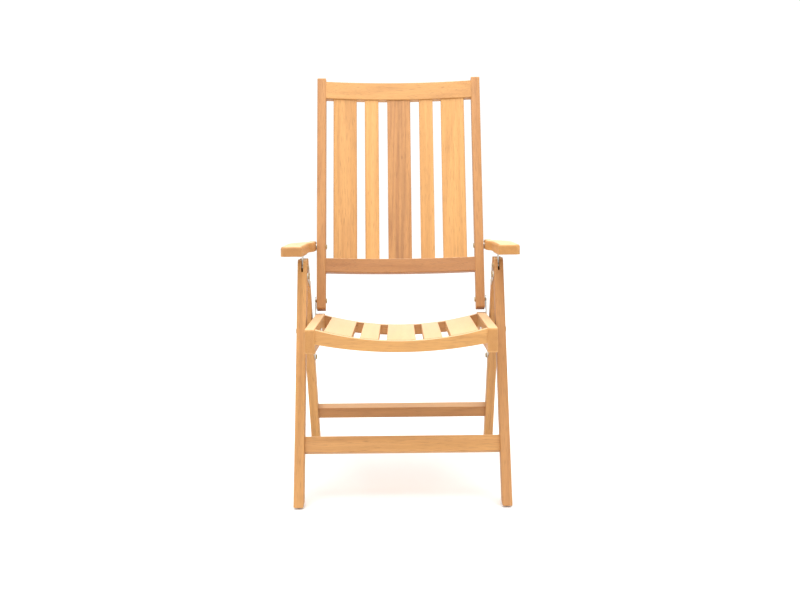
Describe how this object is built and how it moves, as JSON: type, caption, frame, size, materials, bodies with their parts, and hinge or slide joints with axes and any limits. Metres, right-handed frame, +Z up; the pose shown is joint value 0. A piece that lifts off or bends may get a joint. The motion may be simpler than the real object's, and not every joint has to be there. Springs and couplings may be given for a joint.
{
  "type": "folding deck chair",
  "caption": "Folding slatted teak armchair with dished seat, high reclining back, arms latched on steel straps and a hinged A-frame of legs",
  "frame": {"origin": "bottom centre of the bounding box, on the ground", "axes": "+X to the right of someone facing the chair, -Y the chair's front, +Z up"},
  "size_m": [0.586, 0.6878, 1.0421],
  "materials": {
    "teak_frame": "oiled teak, eased edges",
    "teak_slat": "oiled teak, eased edges",
    "steel": "satin stainless steel",
    "glide": "matt black plastic"
  },
  "bodies": {
    "front_frame": {"front_leg_left": "teak_frame", "front_leg_right": "teak_frame", "front_cross_rail": "teak_frame", "front_glides": "glide", "latch_bolts": "steel", "leg_hinge_bolts": "steel", "seat_pivot_bolts": "steel", "seat_pivot_spacers": "steel", "seat_pivot_nuts": "steel"},
    "rear_frame": {"rear_leg_left": "teak_frame", "rear_leg_right": "teak_frame", "rear_cross_rail": "teak_frame", "rear_glides": "glide", "leg_hinge_plates": "steel", "leg_hinge_plate_screws": "steel", "link_bolts": "steel"},
    "stays": {"stay_links": "steel", "stay_link_rivets": "steel"},
    "seat": {"seat_rail_left": "teak_frame", "seat_rail_right": "teak_frame", "seat_front_rail": "teak_frame", "seat_rear_rail": "teak_frame", "seat_slat_1": "teak_slat", "seat_slat_2": "teak_slat", "seat_slat_3": "teak_slat", "seat_slat_4": "teak_slat", "seat_slat_5": "teak_slat", "back_hinge_plates": "steel", "back_hinge_plate_screws": "steel", "stay_bosses": "steel"},
    "back_bolts": {"back_pivot_bolts": "steel"},
    "back": {"back_stile_left": "teak_frame", "back_stile_right": "teak_frame", "back_top_rail": "teak_frame", "back_bottom_rail": "teak_frame", "back_slat_1": "teak_slat", "back_slat_2": "teak_slat", "back_slat_3": "teak_slat", "back_slat_4": "teak_slat", "back_slat_5": "teak_slat", "arm_pivot_bolts": "steel", "arm_washers": "steel"},
    "straps": {"latch_straps": "steel"},
    "pins": {"latch_pins": "steel"},
    "arms": {"arm_left": "teak_frame", "arm_right": "teak_frame", "notch_racks": "steel", "keeper_plates": "steel", "keeper_screws": "steel"}
  },
  "joints": [
    {"name": "fold", "type": "hinge", "parent": "front_frame", "child": "seat", "pos_m": [0, -0.11552, 0.39875], "axis": [1, 0, 0], "range_deg": [0, 66]},
    {"name": "leg_close", "type": "hinge", "parent": "front_frame", "child": "rear_frame", "pos_m": [0, -0.04924, 0.52883], "axis": [1, 0, 0], "range_deg": [-58.5, 0]},
    {"name": "stay_turn", "type": "hinge", "parent": "rear_frame", "child": "stays", "pos_m": [0, 0.15021, 0.28279], "axis": [1, 0, 0], "range_deg": [-31, 0]},
    {"name": "back_follow", "type": "hinge", "parent": "seat", "child": "back_bolts", "pos_m": [0, 0.09757, 0.445], "axis": [1, 0, 0], "range_deg": [-77, 0]},
    {"name": "recline", "type": "hinge", "parent": "back_bolts", "child": "back", "pos_m": [0, 0.09757, 0.445], "axis": [1, 0, 0], "range_deg": [-32, 0]},
    {"name": "strap_turn", "type": "hinge", "parent": "front_frame", "child": "straps", "pos_m": [0, -0.03743, 0.552], "axis": [1, 0, 0], "range_deg": [0, 68]},
    {"name": "arm_tilt", "type": "hinge", "parent": "straps", "child": "pins", "pos_m": [0, -0.03778, 0.59439], "axis": [1, 0, 0], "range_deg": [-10, 0]},
    {"name": "arm_slide", "type": "slide", "parent": "pins", "child": "arms", "axis": [0, 0.9982, -0.0593], "range_m": [0, 0.075]}
  ],
  "couplings": [
    {"joint": "leg_close", "follows": "fold", "ratio": -0.87879},
    {"joint": "stay_turn", "follows": "fold", "ratio": -0.46},
    {"joint": "back_follow", "follows": "fold", "ratio": -1.15},
    {"joint": "strap_turn", "follows": "fold", "ratio": 1.02},
    {"joint": "arm_tilt", "follows": "recline", "ratio": 0.31},
    {"joint": "arm_slide", "follows": "recline", "m_per_rad": -0.13178}
  ]
}
